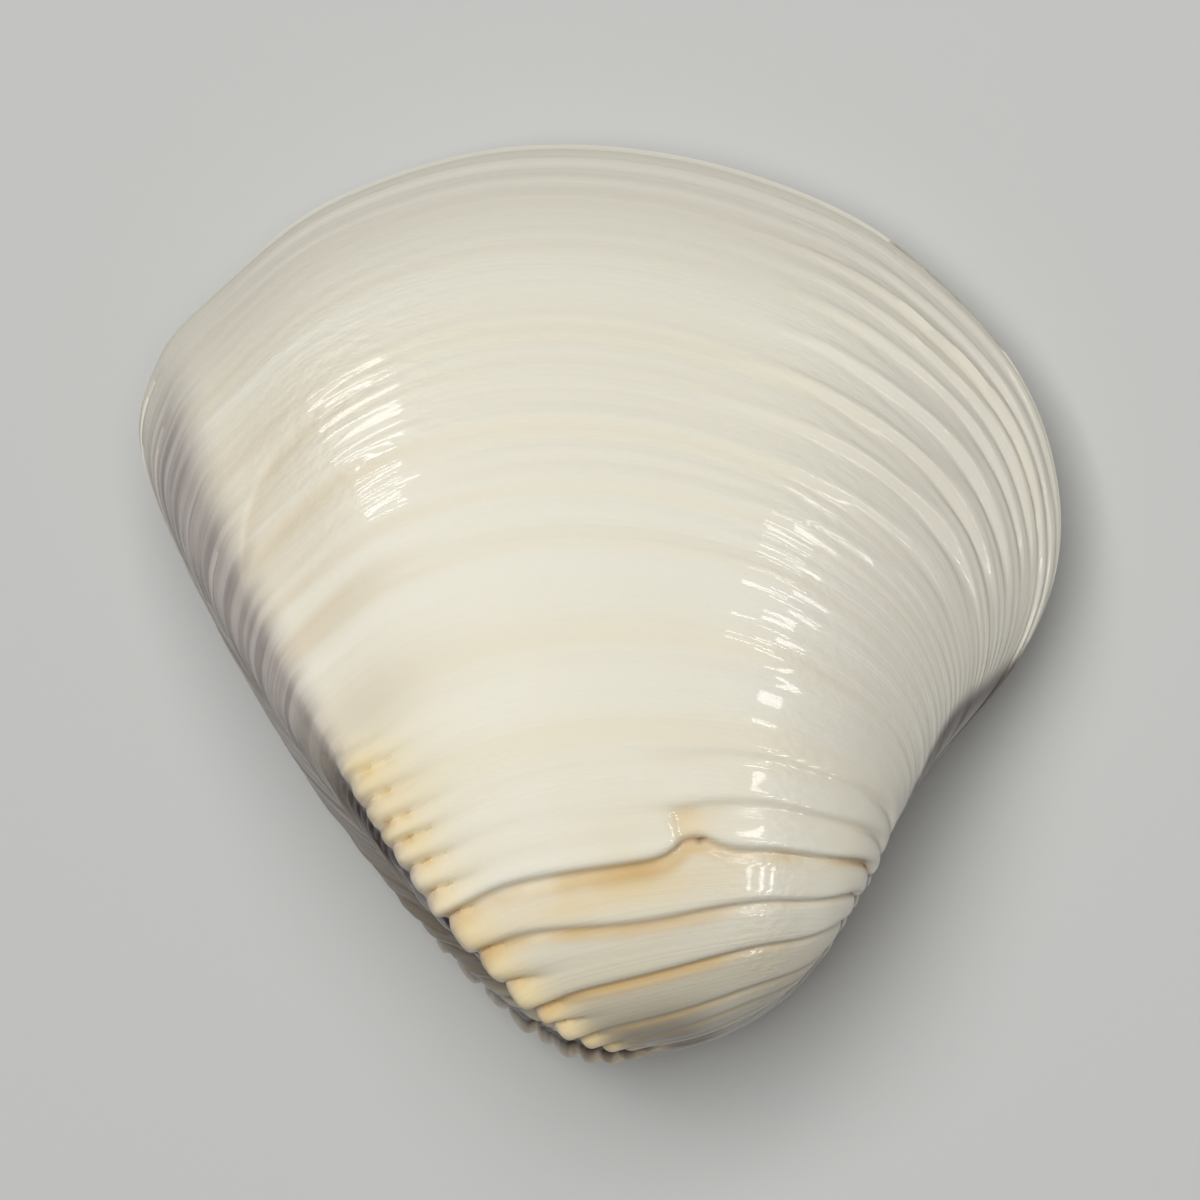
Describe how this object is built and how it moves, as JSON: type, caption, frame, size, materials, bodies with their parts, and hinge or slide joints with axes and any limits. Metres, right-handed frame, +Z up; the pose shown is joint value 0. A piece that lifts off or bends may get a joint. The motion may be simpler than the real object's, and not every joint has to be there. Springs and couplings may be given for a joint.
{
  "type": "anomalocardia brasiliana shell",
  "caption": "Closed pair of a small inflated venus clam shell with a pointed rear end, knobbed corded beaks and a smooth glossy middle, lying on one valve.",
  "frame": {"origin": "on the surface the shell lies on, under the middle of its bounding box", "axes": "+Z up through the left valve, +Y from the beaks towards the lower margin, +X towards the front end"},
  "size_m": [0.0292, 0.031, 0.0199],
  "materials": {
    "shell": "glossy porcelain-like natural shell, ivory white with cream knobs, amber stains between the cords and a purple-grey rear slope",
    "ligament": "dull dark brown horn-like ligament"
  },
  "bodies": {
    "root": {"left_valve": "shell", "right_valve": "shell", "ligament": "ligament"}
  },
  "joints": []
}
